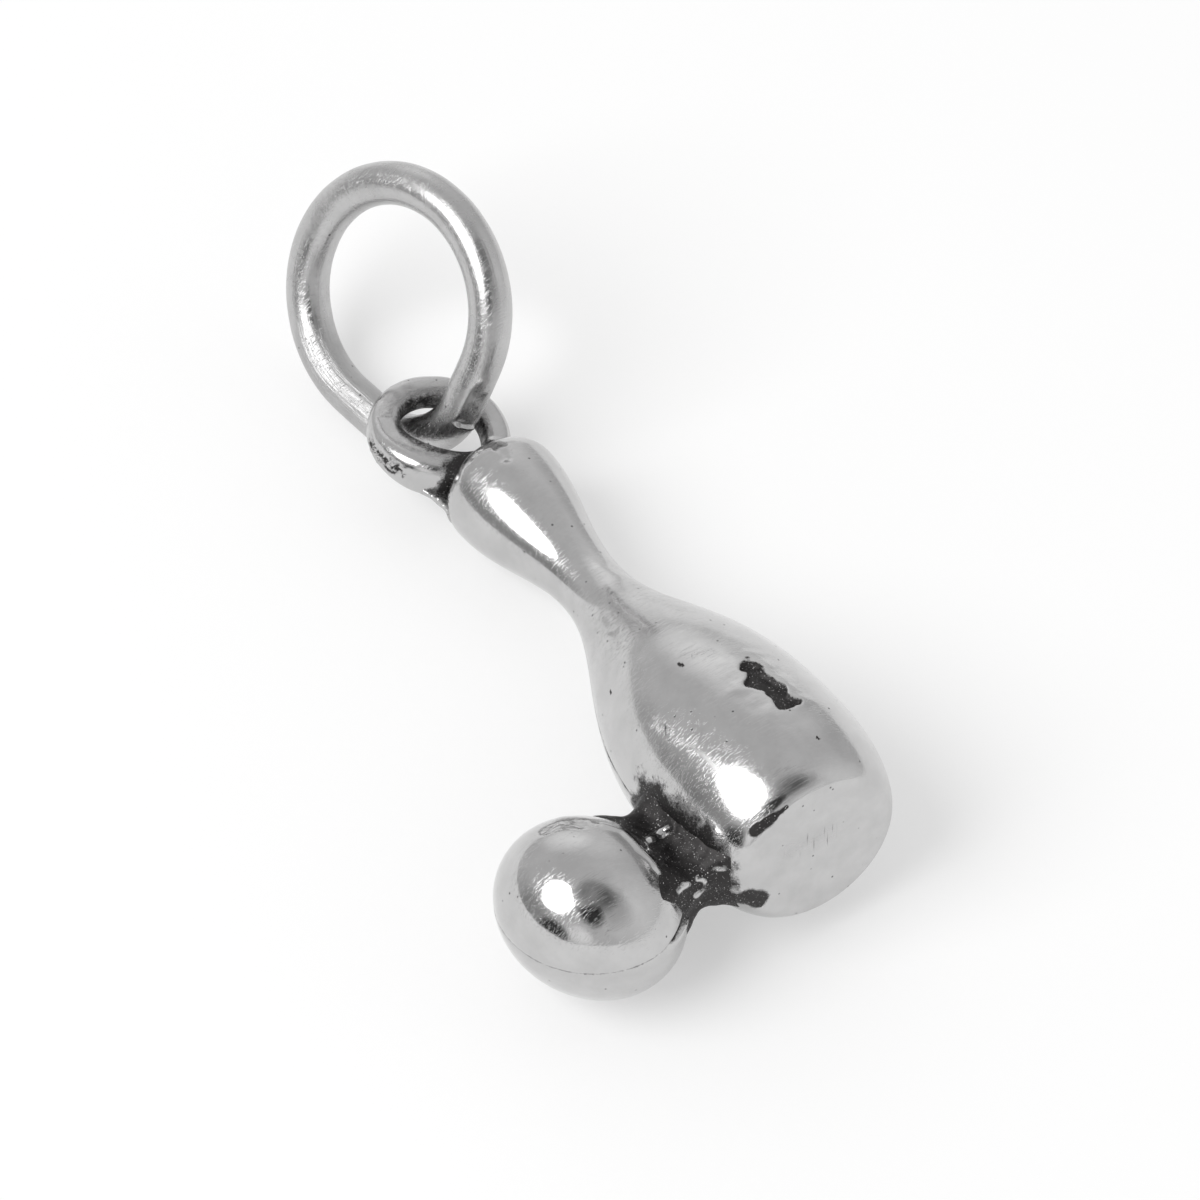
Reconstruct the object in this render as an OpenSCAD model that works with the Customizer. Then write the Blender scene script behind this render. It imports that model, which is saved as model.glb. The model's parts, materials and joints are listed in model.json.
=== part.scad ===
// Bowling pin charm: a solid silver pin with its ball, a fixed eye on the pin's head,
// and a jump ring in the eye.
// The charm lies on its back: foot towards -Y, head towards +Y, front face up.
// Its origin is on the table, under the middle of the whole.

/* [Pin] */
// Radius of the flat foot
foot_radius = 1.84; // [1.4:0.01:2.1]
// Radius of the belly at its widest
belly_radius = 2.63; // [2.4:0.01:2.9]
// Height of the widest belly over the foot
belly_height = 2.3; // [1.9:0.05:2.8]
// Radius of the neck at its narrowest
neck_radius = 0.81; // [0.6:0.01:1.1]
// Height of the narrowest neck over the foot
neck_height = 9.9; // [9:0.05:10.6]
// Radius of the head at its widest
head_radius = 1.43; // [1.25:0.01:1.6]
// Height of the widest head over the foot
head_height = 13.55; // [12.5:0.05:15]
// Height of the head's dome over its widest place
head_dome = 1.05; // [0.9:0.05:1.3]
// Angle by which the head lies lower than the foot
lie_tilt = 6.4; // [5:0.1:7]

/* [Recess in the belly] */
// Height of the recess over the foot
recess_height = 2.95; // [2.6:0.05:5.5]
// Turn of the recess round the pin, from the middle of the front away from the ball
recess_turn = 14.5; // [0:0.5:40]
// Length of the recess along the pin
recess_length = 1.9; // [1.5:0.05:2.2]
// Width of the recess
recess_width = 0.9; // [0.8:0.05:1.1]
// Depth of the recess
recess_depth = 0.12; // [0.08:0.01:0.2]

/* [Ball] */
// Radius of the ball across its widest
ball_radius = 2.3; // [2.1:0.01:2.5]
// Radius of the ball along its flattened direction
ball_short_radius = 2.02; // [1.9:0.01:2.1]
// Gap from the belly to the ball, counted along the ball's flattened direction
ball_gap = 0.3; // [0.25:0.01:0.45]
// Height of the ball's middle over the foot
ball_height = 1.9; // [1.7:0.05:2.2]
// Distance of the ball's middle behind the pin's axis
ball_set_back = 0.58; // [0.4:0.01:0.7]
// Lean of the ball's flattened direction from the pin's axis
ball_lean = 77.4; // [70:0.1:85]
// Turn of the ball's flattened direction towards the front
ball_turn = 33.4; // [28:0.1:38]
// Distance of the ball's seam in front of its middle
ball_seam = 0.22; // [0:0.01:0.4]

/* [Web between ball and pin] */
// Height of the web's underside over the foot
web_height = 0.35; // [0.3:0.01:0.6]
// Thickness of the web from front to back
web_thickness = 1.5; // [1.2:0.05:1.7]
// Distance of the web's middle behind the pin's axis
web_set_back = 0.15; // [0:0.01:0.25]
// Radius of the hollow at the web's upper edge
web_hollow_radius = 0.6; // [0.45:0.01:0.75]

/* [Eye] */
// Diameter of the eye's wire
eye_wire = 0.72; // [0.6:0.01:0.8]
// Play of the jump ring's wire in the eye, on the radius
eye_play = 0.48; // [0.44:0.01:0.6]
// Depth to which the eye is let into the head
eye_sink = 0.54; // [0.48:0.01:0.6]
// Distance of the eye's middle from the pin's axis, towards the ball
eye_side = 0.42; // [0.3:0.01:0.5]
// Distance of the eye's middle in front of the pin's axis
eye_front = 0.245; // [0.15:0.005:0.3]
// Twist of the eye about the pin's axis
eye_twist = 10; // [5:0.5:14]
// Lean of the eye's upper edge to the front
eye_lean = 10; // [6:0.5:14]

/* [Solder at the eye's foot] */
// Radius of the solder's skirt on the head
solder_radius = 0.95; // [0.8:0.01:1]
// Radius of the solder at its top
solder_top_radius = 0.35; // [0.3:0.01:0.45]
// Height of the solder
solder_height = 0.55; // [0.5:0.01:0.6]
// Distance of the solder's top over the pin's head
solder_rise = 0.1; // [0.05:0.01:0.15]

/* [Jump ring] */
// Diameter of the ring's wire, 18 gauge
ring_wire = 1.03; // [0.9:0.01:1.05]
// Radius of the ring's large bend, at the wire's middle
ring_radius = 2.79; // [2.7:0.01:2.9]
// Radius of the ring's small bend, at the wire's middle
bow_radius = 1.79; // [1.7:0.01:1.9]
// Half the angle between the ring's two straight sides, from the small bend's middle line
bow_angle = 45.8; // [44:0.1:48]
// Share of the play by which the ring leans across the eye
ring_rest_share = 0.7; // [0.6:0.01:0.75]
// Direction in which the ring leans across the eye
ring_rest_turn = 34; // [30:1:38]
// Place where the small bend passes through the eye, as an angle from the bend's middle
ring_pass_angle = 19; // [18:0.5:21]
// Roll of the lying ring about its long direction
ring_roll = 130.8; // [130:0.1:132]
// Rise of the lying ring's long direction over the table
ring_rise = 36.9; // [36:0.1:38]
// Heading of the lying ring's long direction on the table
ring_heading = 72.8; // [72:0.1:74]
// Place of the ring's closing slit, as an angle from the small bend's middle
slit_angle = 38; // [34:0.5:41]
// Width of the closing slit
slit_width = 0.12; // [0.08:0.01:0.2]
// Height by which the closing solder stands proud of the wire
slit_proud = 0.015; // [0.01:0.005:0.03]

/* [Hidden] */
$fn = 96;
// Points along each stretch of the pin's and the ball's outlines
outline_steps = 14;
// Shapes of the pin's outline: how full the foot's rounding is, and how the belly runs into the neck
foot_round_power = 1.85;
shoulder_power = 2.8;
waist_power = 2.4;
// The ring's straight sides end this deep in the bends, and are this much thinner all round
side_lap = 0.05;
side_step = 0.006;
// One overrun serves all cuts
overrun = belly_radius;
// Silver, plain and blackened
silver = "silver";
bright = "gainsboro";
black = "dimgray";

pin_height = head_height + head_dome;
// Radius of the pin at a height over its foot
function foot_part(z) = foot_radius + (belly_radius - foot_radius)
    * sqrt(1 - pow(1 - z / belly_height, foot_round_power));
function waist_part(s) = neck_radius + (belly_radius - neck_radius)
    * pow(1 - pow(s, shoulder_power), waist_power);
function body_radius(z) = z < belly_height
    ? foot_part(z)
    : waist_part((z - belly_height) / (neck_height - belly_height));
function neck_part(s) = neck_radius + (head_radius - neck_radius) * (1 - cos(180 * s)) / 2;

// The pin's outline as [radius, height] points, from the foot's rim to the top of the head
pin_outline = [
    for (i = [0 : outline_steps]) let (z = belly_height * (1 - cos(90 * i / outline_steps)))
        [foot_part(z), z],
    for (i = [1 : outline_steps]) let (s = i / outline_steps)
        [waist_part(s), belly_height + (neck_height - belly_height) * s],
    for (i = [1 : outline_steps]) let (s = i / outline_steps)
        [neck_part(s), neck_height + (head_height - neck_height) * s],
    for (i = [1 : outline_steps]) let (a = 90 * i / outline_steps)
        [i == outline_steps ? 0 : head_radius * cos(a), head_height + head_dome * sin(a)]
];
ball_outline = [
    for (i = [0 : 2 * outline_steps]) let (a = 90 * (i / outline_steps - 1))
        [abs(a) == 90 ? 0 : ball_radius * cos(a), ball_short_radius * sin(a)]
];

// The charm lies on its belly: height of the foot's middle over the table
lie_height = max([for (p = pin_outline) p[0] * cos(lie_tilt) + p[1] * sin(lie_tilt)]);
// A point of the standing pin [away from the ball, to the back, up the pin] where it lies on the table
function lying_point(p) = [
    p[0],
    p[2] * cos(lie_tilt) - p[1] * sin(lie_tilt),
    lie_height - p[2] * sin(lie_tilt) - p[1] * cos(lie_tilt)
];

ball_side = belly_radius + ball_gap + ball_short_radius;
ball_middle = [-ball_side, ball_set_back, ball_height];
ball_axis = -lying_point([0, 0, 0])
    + lying_point([sin(ball_lean) * cos(ball_turn), -sin(ball_lean) * sin(ball_turn), cos(ball_lean)]);
// Reach of the ball from its middle along one direction of the table
function ball_reach(i) = norm([
    ball_radius * sqrt(1 - pow(ball_axis[i], 2)),
    ball_short_radius * ball_axis[i]
]);

// The hollow of the web rolls on the ball and on the belly
web_hollow_side = belly_radius + web_hollow_radius;
web_hollow_rise = sqrt(pow(ball_radius + web_hollow_radius, 2) - pow(ball_side - web_hollow_side, 2));
web_hollow_middle = [-web_hollow_side, ball_height + web_hollow_rise];
web_ball_touch = [-ball_side, ball_height]
    + (web_hollow_middle - [-ball_side, ball_height]) * ball_radius / (ball_radius + web_hollow_radius);

eye_radius = ring_wire / 2 + eye_play + eye_wire / 2;
eye_middle = [-eye_side, -eye_front, pin_height - eye_sink + eye_radius + eye_wire / 2];

// Where the ring's small bend passes the eye: across the eye's opening by its share of the play
eye_across = lying_point([cos(eye_twist), sin(eye_twist), 0]) - lying_point([0, 0, 0]);
eye_up = lying_point([sin(eye_lean) * sin(eye_twist), -sin(eye_lean) * cos(eye_twist), cos(eye_lean)])
    - lying_point([0, 0, 0]);
ring_lean = eye_play * ring_rest_share;
pass_point = lying_point(eye_middle)
    + ring_lean * (cos(ring_rest_turn) * eye_across + sin(ring_rest_turn) * eye_up);

// Directions of the lying ring: along its length, across it, and square to it
ring_along = [cos(ring_rise) * cos(ring_heading), cos(ring_rise) * sin(ring_heading), sin(ring_rise)];
ring_across = [
    -cos(ring_roll) * sin(ring_heading) - sin(ring_roll) * sin(ring_rise) * cos(ring_heading),
    cos(ring_roll) * cos(ring_heading) - sin(ring_roll) * sin(ring_rise) * sin(ring_heading),
    sin(ring_roll) * cos(ring_rise)
];
ring_square = cross(ring_along, ring_across);
bow_middle = pass_point
    + bow_radius * (cos(ring_pass_angle) * ring_along - sin(ring_pass_angle) * ring_across);
// The straight sides touch both bends, so the bends' middles lie this far apart
bend_distance = (ring_radius - bow_radius) / cos(bow_angle);
side_length = (ring_radius - bow_radius) * tan(bow_angle);
large_middle = bow_middle + bend_distance * ring_along;
function ring_reach(i) = large_middle[i] + ring_radius * sqrt(1 - pow(ring_square[i], 2)) + ring_wire / 2;

// The slit as an angle of the small bend
slit_half = asin(slit_width / 2 / bow_radius);

// The lying charm reaches across from the ball to the belly, and along from the ball to the ring's far end
low_x = ball_middle[0] - ball_reach(0);
low_y = lying_point(ball_middle)[1] - ball_reach(1);
origin_shift = [-(low_x + belly_radius) / 2, -(low_y + ring_reach(1)) / 2, 0];

module lying() {
    translate(origin_shift + [0, 0, lie_height])
        rotate([-90 - lie_tilt, 0, 0])
            children();
}

module ring_place() {
    translate(origin_shift + bow_middle)
        rotate([ring_roll, -ring_rise, ring_heading])
            children();
}

module pin_solid() {
    rotate_extrude()
        polygon(concat([[0, 0]], pin_outline));
}

module ball_solid() {
    translate(ball_middle)
        rotate([0, ball_lean, -ball_turn])
            rotate_extrude()
                polygon(ball_outline);
}

module eye_solid() {
    translate(eye_middle)
        rotate([90 + eye_lean, 0, eye_twist])
            rotate_extrude()
                translate([eye_radius, 0])
                    circle(d = eye_wire);
}

// Everything in front of a plane that lies this far behind the pin's axis
module front_of(back) {
    reach = pin_height + overrun;
    translate([-reach, back - 2 * reach, -overrun])
        cube([2 * reach, 2 * reach, 2 * reach]);
}

// A shallow long recess: three large balls in a row dip into the belly's front
module recess_cut() {
    recess_ball = (pow(recess_width / 2, 2) + pow(recess_depth, 2)) / (2 * recess_depth);
    for (step = [-1 : 1]) {
        z = recess_height + step * (recess_length - recess_width) / 2;
        rotate([0, 0, recess_turn])
            translate([0, recess_depth - body_radius(z) - recess_ball, z])
                sphere(r = recess_ball);
    }
}

module pin_front() {
    color(silver)
        lying()
            difference() {
                intersection() {
                    pin_solid();
                    front_of(0);
                }
                recess_cut();
            }
}

module pin_back() {
    color(silver)
        lying()
            difference() {
                pin_solid();
                front_of(0);
            }
}

module ball_front() {
    color(bright)
        lying()
            intersection() {
                ball_solid();
                front_of(ball_set_back - ball_seam);
            }
}

module ball_back() {
    color(bright)
        lying()
            difference() {
                ball_solid();
                front_of(ball_set_back - ball_seam);
            }
}

module web_outline() {
    difference() {
        polygon([
            [-ball_side, web_height],
            [-ball_side, ball_height],
            web_ball_touch,
            [-belly_radius, web_hollow_middle[1]],
            [-neck_radius, web_hollow_middle[1]],
            [-neck_radius, web_height]
        ]);
        translate(web_hollow_middle)
            circle(r = web_hollow_radius);
    }
}

module web() {
    color(black)
        lying()
            difference() {
                translate([0, web_set_back + web_thickness / 2, 0])
                    rotate([90, 0, 0])
                        linear_extrude(web_thickness)
                            web_outline();
                pin_solid();
                ball_solid();
            }
}

module eye() {
    color(silver)
        lying()
            difference() {
                eye_solid();
                pin_solid();
            }
}

// The solder fills the corner behind the eye's foot and leaves the front open
module eye_solder() {
    color(silver)
        lying()
            difference() {
                translate([-eye_side, -eye_front + eye_wire / 2, pin_height + solder_rise - solder_height])
                    cylinder(h = solder_height, r1 = solder_radius, r2 = solder_top_radius);
                pin_solid();
                eye_solid();
                front_of(-eye_front);
            }
}

// A bend of the ring's wire, from one angle to another, with its middle at the origin
module wire_bend(radius, from_angle, to_angle, thickness) {
    rotate([0, 0, from_angle])
        rotate_extrude(angle = to_angle - from_angle)
            translate([radius, 0])
                circle(d = thickness);
}

module jump_ring() {
    color(bright)
        ring_place() {
            translate([bend_distance, 0, 0])
                wire_bend(ring_radius, bow_angle - 180, 180 - bow_angle, ring_wire);
            for (side = [-1, 1])
                rotate([0, 0, side * (180 - bow_angle)])
                    translate([bow_radius, side * side_lap, 0])
                        rotate([side * 90, 0, 0])
                            cylinder(h = side_length + 2 * side_lap, d = ring_wire - 2 * side_step);
            wire_bend(bow_radius, 180 - bow_angle, 180 - slit_angle - slit_half, ring_wire);
            wire_bend(bow_radius, 180 - slit_angle + slit_half, 180 + bow_angle, ring_wire);
        }
}

module jump_ring_solder() {
    color(bright)
        ring_place()
            wire_bend(bow_radius, 180 - slit_angle - slit_half, 180 - slit_angle + slit_half,
                      ring_wire + 2 * slit_proud);
}

pin_front();
pin_back();
ball_front();
ball_back();
web();
eye();
eye_solder();
jump_ring();
jump_ring_solder();
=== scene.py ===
import json

import bpy
import numpy as np
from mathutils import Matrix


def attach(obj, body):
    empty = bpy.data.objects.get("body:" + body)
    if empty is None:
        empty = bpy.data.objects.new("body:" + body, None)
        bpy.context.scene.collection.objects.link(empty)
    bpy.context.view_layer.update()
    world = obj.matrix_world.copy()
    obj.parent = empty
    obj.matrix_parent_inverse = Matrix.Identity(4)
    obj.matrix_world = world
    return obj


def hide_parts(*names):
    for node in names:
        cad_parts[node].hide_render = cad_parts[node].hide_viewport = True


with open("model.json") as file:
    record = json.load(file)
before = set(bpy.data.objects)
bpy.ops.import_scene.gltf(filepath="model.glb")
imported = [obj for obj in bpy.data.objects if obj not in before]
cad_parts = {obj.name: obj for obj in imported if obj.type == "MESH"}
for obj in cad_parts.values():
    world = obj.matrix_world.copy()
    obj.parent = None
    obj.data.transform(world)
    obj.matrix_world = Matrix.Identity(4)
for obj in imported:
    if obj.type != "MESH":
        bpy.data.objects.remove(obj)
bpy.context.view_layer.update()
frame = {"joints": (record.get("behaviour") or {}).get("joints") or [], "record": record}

import openvdb
from mathutils import Matrix, Vector

# Lengths below are in millimetres, as in the part's source, and become metres when a mesh is made.
# Skins are worked out on the standing pin, whose front is -Y and whose ball is on the -X side.
# A pair of numbers without a word of its own is the start and the end of a smooth step from 0 to 1.
MM = 0.001
TINY = 1e-6

# Pin, standing on its foot
BELLY_RADIUS = 2.63
BELLY_HEIGHT = 2.3
FOOT_RADIUS = 1.84
NECK_RADIUS = 0.81
NECK_HEIGHT = 9.9
HEAD_RADIUS = 1.43
HEAD_HEIGHT = 13.55
HEAD_DOME = 1.05
PIN_HEIGHT = HEAD_HEIGHT + HEAD_DOME
FOOT_ROUND_POWER = 1.85
SHOULDER_POWER = 2.8
WAIST_POWER = 2.4

# Ball
BALL_RADIUS = 2.3
BALL_SHORT_RADIUS = 2.02
BALL_MIDDLE = np.array([-4.95, 0.58, 1.9])
BALL_LEAN = np.radians(77.4)
BALL_TURN = np.radians(33.4)
BALL_SEAM = 0.22

# Eye
EYE_WIRE = 0.36
EYE_RADIUS = 1.355
EYE_ASIDE = -0.42
EYE_FORWARD = -0.245
EYE_SUNK = 0.54
EYE_MIDDLE = np.array([EYE_ASIDE, EYE_FORWARD, PIN_HEIGHT - EYE_SUNK + EYE_RADIUS + EYE_WIRE])
EYE_TWIST = np.radians(10)
EYE_LEAN = np.radians(10)

# Jump ring: a small bend and a large one, joined by straight sides. The slit is in the small bend.
RING_WIRE = 0.515
RING_RADIUS = 2.79
BOW_RADIUS = 1.79
BOW_ANGLE = np.radians(45.8)
SLIT_ANGLE = np.radians(38)
SLIT_HALF = 0.06

# Mesh spacing, and the angle from which an edge is sharp
FINE = 0.042
SHARP_EDGE = np.radians(60)

# The lying pose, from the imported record
FOOT_MOUNT = next(m for m in frame["record"]["mounts"] if m["name"] == "foot")
FOOT = np.array(FOOT_MOUNT["pos_m"]) / MM
UP_PIN = -np.array(FOOT_MOUNT["axis"])
SIDE = np.array([1.0, 0.0, 0.0])
BACK = np.cross(UP_PIN, SIDE)
SWING = frame["joints"][0]
RING_PLACE = np.array(SWING["pos_m"]) / MM
RING_SQUARE = np.array(SWING["axis"])


def lie(p):
    """Points of the standing pin, where they lie on the table"""
    return FOOT + p[..., 0:1] * SIDE + p[..., 1:2] * BACK + p[..., 2:3] * UP_PIN


def stand(p):
    """Points on the table, in the standing pin's frame"""
    v = p - FOOT
    return np.stack([v @ SIDE, v @ BACK, v @ UP_PIN], -1)


def smooth_step(low, high, x):
    """0 up to low and 1 from high, smooth between them; low may be the larger"""
    t = np.clip((x - low) / (high - low), 0, 1)
    return t * t * (3 - 2 * t)


def smooth_min(a, b, width):
    """The smaller of two values, blended where they are closer than the width"""
    h = np.clip(0.5 + 0.5 * (b - a) / width, 0, 1)
    return b + (a - b) * h - width * h * (1 - h)


def bell(x):
    """1 at zero, fading to 0 on both sides"""
    return np.exp(-x ** 2)


WOBBLE_WAVES = 9
# The least and the most times that a wobble's wave goes up and down in its scale
WOBBLE_SPREAD = (0.6, 1.4)


def wobble(p, scale, seed):
    """A smooth random field, mostly between -1 and 1, the same on each run"""
    rng = np.random.default_rng(seed)
    total = np.zeros(p.shape[:-1])
    for _ in range(WOBBLE_WAVES):
        direction = rng.normal(size=3)
        direction *= rng.uniform(*WOBBLE_SPREAD) / np.linalg.norm(direction)
        total += np.sin(p @ direction * 2 * np.pi / scale + rng.uniform(0, 2 * np.pi))
    return total / (WOBBLE_WAVES / 2)


def ripple(p, *layers):
    """A sum of wobbles, each given by its height, scale and seed"""
    return sum(height * wobble(p, scale, seed) for height, scale, seed in layers)


# Camera: level, at the photograph's angle
PHOTO_SIZE = 1200
CAMERA_FOCAL_PX = 13200
CAMERA_DISTANCE = 300
CAMERA_RIGHT = np.array([0.8460, -0.5332, 0.0])
CAMERA_LOOK = np.array([0.3228, 0.5121, -0.7960])
CAMERA_RIGHT /= np.linalg.norm(CAMERA_RIGHT)
CAMERA_LOOK -= CAMERA_RIGHT * (CAMERA_LOOK @ CAMERA_RIGHT)
CAMERA_LOOK /= np.linalg.norm(CAMERA_LOOK)
CAMERA_DOWN = np.cross(CAMERA_LOOK, CAMERA_RIGHT)
# How far right of and below the picture's middle the foot's middle shows
FOOT_RIGHT = 4.95
FOOT_DOWN = 5.652
CAMERA_PLACE = FOOT - FOOT_RIGHT * CAMERA_RIGHT - FOOT_DOWN * CAMERA_DOWN - CAMERA_DISTANCE * CAMERA_LOOK
# Its sensor in millimetres, and its near clipping in metres
SENSOR_WIDTH = 36
CLIP_START = 0.01

# A sight line is searched from this far before the foot, in steps of a share of what is left
SIGHT_BEFORE = 14.0
SIGHT_STEPS = 150
SIGHT_SHARE = 0.7


def surface_at(pixel, field):
    """Where the sight line through a photograph's pixel meets a surface, or passes nearest to it"""
    side = (pixel[0] - PHOTO_SIZE / 2) / CAMERA_FOCAL_PX
    down = (pixel[1] - PHOTO_SIZE / 2) / CAMERA_FOCAL_PX
    way = CAMERA_LOOK + side * CAMERA_RIGHT + down * CAMERA_DOWN
    way = np.array([way @ SIDE, way @ BACK, way @ UP_PIN]) / np.linalg.norm(way)
    start = stand(CAMERA_PLACE)
    t = CAMERA_DISTANCE - SIGHT_BEFORE
    nearest, place = np.inf, start
    for _ in range(SIGHT_STEPS):
        far = float(field((start + t * way)[None])[0])
        if abs(far) < nearest:
            nearest, place = abs(far), start + t * way
        t += SIGHT_SHARE * far
    return place


def traced(pixels, field):
    """A path of the photograph's pixels, laid on a surface"""
    return [surface_at(pixel, field) for pixel in pixels]


def far_from_path(p, path):
    """Distance of points from a path of straight stretches, or from a single place"""
    if len(path) == 1:
        return np.linalg.norm(p - path[0], axis=-1)
    far = np.full(p.shape[:-1], np.inf)
    for a, b in zip(path[:-1], path[1:]):
        along = b - a
        t = np.clip(((p - a) @ along) / (along @ along), 0, 1)
        far = np.minimum(far, np.linalg.norm(p - a - t[..., None] * along, axis=-1))
    return far


def marks_relief(p, marks, field):
    """Height that small dents and ridges add to a skin, from their paths in the photograph"""
    height = np.zeros(p.shape[:-1])
    for path, width, rise in marks:
        height += rise * bell(far_from_path(p, traced(path, field)) / width)
    return height


# The edge of each dark patch, stain mark and painted dark reflection alike, in half widths from its path
STAIN_AND_REFLECTION_EDGE = (1.5, 0.5)


def stains_and_painted_reflections(p, places, field, ragged):
    """Dark patches from their paths in the photograph: stain marks, and on pin and ball also painted dark
    reflections
    """
    patina = np.zeros(p.shape[:-1])
    for path, width in places:
        far = far_from_path(p, traced(path, field)) + ragged
        patina = np.maximum(patina, smooth_step(*STAIN_AND_REFLECTION_EDGE, far / width))
    return patina


def make_camera():
    data = bpy.data.cameras.new("camera")
    data.sensor_width = SENSOR_WIDTH
    data.lens = data.sensor_width * CAMERA_FOCAL_PX / PHOTO_SIZE
    data.clip_start = CLIP_START
    camera = bpy.data.objects.new("camera", data)
    turn = Matrix([CAMERA_RIGHT, -CAMERA_DOWN, -CAMERA_LOOK]).transposed().to_4x4()
    camera.matrix_world = Matrix.Translation(Vector(CAMERA_PLACE * MM)) @ turn
    bpy.context.scene.collection.objects.link(camera)
    bpy.context.scene.camera = camera


# Meshes
def make_piece(name, points, faces, patina=None, rubbed=None, flow=None):
    """A smooth mesh from points in millimetres; what its material needs is kept on its points"""
    mesh = bpy.data.meshes.new(name)
    mesh.from_pydata((np.asarray(points) * MM).tolist(), [], faces)
    mesh.validate()
    mesh.update()
    mesh.polygons.foreach_set("use_smooth", [True] * len(mesh.polygons))
    mesh.set_sharp_from_angle(angle=SHARP_EDGE)
    for label, values in (("patina", patina), ("rubbed", rubbed)):
        layer = mesh.attributes.new(label, "FLOAT", "POINT")
        values = np.zeros(len(points)) if values is None else values
        layer.data.foreach_set("value", np.asarray(values, np.float32))
    if flow is not None:
        layer = mesh.attributes.new("flow", "FLOAT_VECTOR", "POINT")
        layer.data.foreach_set("vector", np.asarray(flow, np.float32).ravel())
    piece = bpy.data.objects.new(name, mesh)
    bpy.context.scene.collection.objects.link(piece)
    return piece


def sheet_faces(rows, columns, closed):
    """Quads of a grid of points, rows after rows; closed joins the last column to the first"""
    faces = []
    last = columns if closed else columns - 1
    for i in range(rows - 1):
        for j in range(last):
            k = (j + 1) % columns
            faces.append((i * columns + j, i * columns + k, (i + 1) * columns + k, (i + 1) * columns + j))
    return faces


# Meshing of a field: empty cells round its box, the share of a cell over which slopes are measured,
# moves of the points onto the surface, and the least squared slope for them
FIELD_MARGIN = 2
FIELD_STEP = 0.1
FIELD_MOVES = 3
FIELD_LEAST_SLOPE = 0.2


def field_piece(field, low, high, spacing):
    """Points and quads of the surface where a field of the standing pin's frame is zero"""
    margin = FIELD_MARGIN * spacing
    axes = [np.arange(a - margin, b + margin, spacing) for a, b in zip(low, high)]
    grid = np.stack(np.meshgrid(*axes, indexing="ij"), -1)
    values = field(grid.reshape(-1, 3)).reshape(grid.shape[:3]).astype(np.float32)
    volume = openvdb.FloatGrid(float(values.max()))
    volume.copyFromArray(np.ascontiguousarray(values))
    points, quads = volume.convertToQuads(0.0)
    points = np.array([a[0] for a in axes]) + np.asarray(points, float) * spacing
    step = spacing * FIELD_STEP
    for _ in range(FIELD_MOVES):
        value = field(points)
        rises = [field(points + step * e) - field(points - step * e) for e in np.eye(3)]
        slope = np.stack(rises, -1) / (2 * step)
        size = np.maximum((slope ** 2).sum(-1), FIELD_LEAST_SLOPE)
        points = points - np.clip(value / size, -spacing, spacing)[:, None] * slope
    return points, [tuple(int(i) for i in q) for q in quads]


# Outlines and fields, in the standing pin's frame
def pin_radius(z):
    z = np.asarray(z, float)
    t = np.clip(1 - z / BELLY_HEIGHT, 0, 1)
    foot = FOOT_RADIUS + (BELLY_RADIUS - FOOT_RADIUS) * np.sqrt(np.maximum(0, 1 - t ** FOOT_ROUND_POWER))
    t = np.clip((z - BELLY_HEIGHT) / (NECK_HEIGHT - BELLY_HEIGHT), 0, 1)
    waist = NECK_RADIUS + (BELLY_RADIUS - NECK_RADIUS) * (1 - t ** SHOULDER_POWER) ** WAIST_POWER
    t = np.clip((z - NECK_HEIGHT) / (HEAD_HEIGHT - NECK_HEIGHT), 0, 1)
    head = NECK_RADIUS + (HEAD_RADIUS - NECK_RADIUS) * (1 - np.cos(np.pi * t)) / 2
    t = np.clip((z - HEAD_HEIGHT) / HEAD_DOME, 0, 1)
    dome = HEAD_RADIUS * np.sqrt(np.maximum(0, 1 - t * t))
    upper = np.where(z < NECK_HEIGHT, waist, np.where(z < HEAD_HEIGHT, head, dome))
    return np.where(z < BELLY_HEIGHT, foot, upper)


# Heights at which the outline is sampled before it is spaced evenly: foot and dome, and between them
ARC_SAMPLES = 200
SIDE_SAMPLES = 1200


def outline_points():
    """The pin's outline from the middle of its foot to the top of its head, evenly spaced"""
    arc = np.linspace(0, np.pi / 2, ARC_SAMPLES)
    foot_heights = BELLY_HEIGHT * (1 - np.cos(arc))
    side_heights = np.linspace(BELLY_HEIGHT, HEAD_HEIGHT, SIDE_SAMPLES)
    dome_heights = HEAD_HEIGHT + HEAD_DOME * np.sin(arc)
    z = np.concatenate([foot_heights, side_heights[1:], dome_heights[1:]])
    r = pin_radius(z)
    length = np.concatenate([[0], np.cumsum(np.hypot(np.diff(z), np.diff(r)))])
    steps = np.linspace(0, length[-1], int(length[-1] / FINE))
    z, r = np.interp(steps, length, z), np.interp(steps, length, r)
    foot = np.linspace(FINE, FOOT_RADIUS, int(FOOT_RADIUS / FINE))[:-1]
    return np.concatenate([np.zeros(len(foot)), z[:-1]]), np.concatenate([foot, r[:-1]])


# The outline's slope: half the step that it is measured over, how far inside the ends, its largest square
SLOPE_STEP = 0.01
SLOPE_INSIDE = 0.02
SLOPE_MOST = 9


def pin_field(p):
    """About the distance outside the pin"""
    z = np.clip(p[..., 2], SLOPE_INSIDE, PIN_HEIGHT - SLOPE_INSIDE)
    r = np.hypot(p[..., 0], p[..., 1])
    slope = (pin_radius(z + SLOPE_STEP) - pin_radius(z - SLOPE_STEP)) / (2 * SLOPE_STEP)
    side = (r - pin_radius(z)) / np.sqrt(1 + np.minimum(slope ** 2, SLOPE_MOST))
    dome = np.sqrt((r / HEAD_RADIUS) ** 2 + (np.maximum(p[..., 2] - HEAD_HEIGHT, 0) / HEAD_DOME) ** 2)
    side = np.where(p[..., 2] > HEAD_HEIGHT, (dome - 1) * HEAD_DOME, side)
    return np.maximum(side, -p[..., 2])


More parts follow.
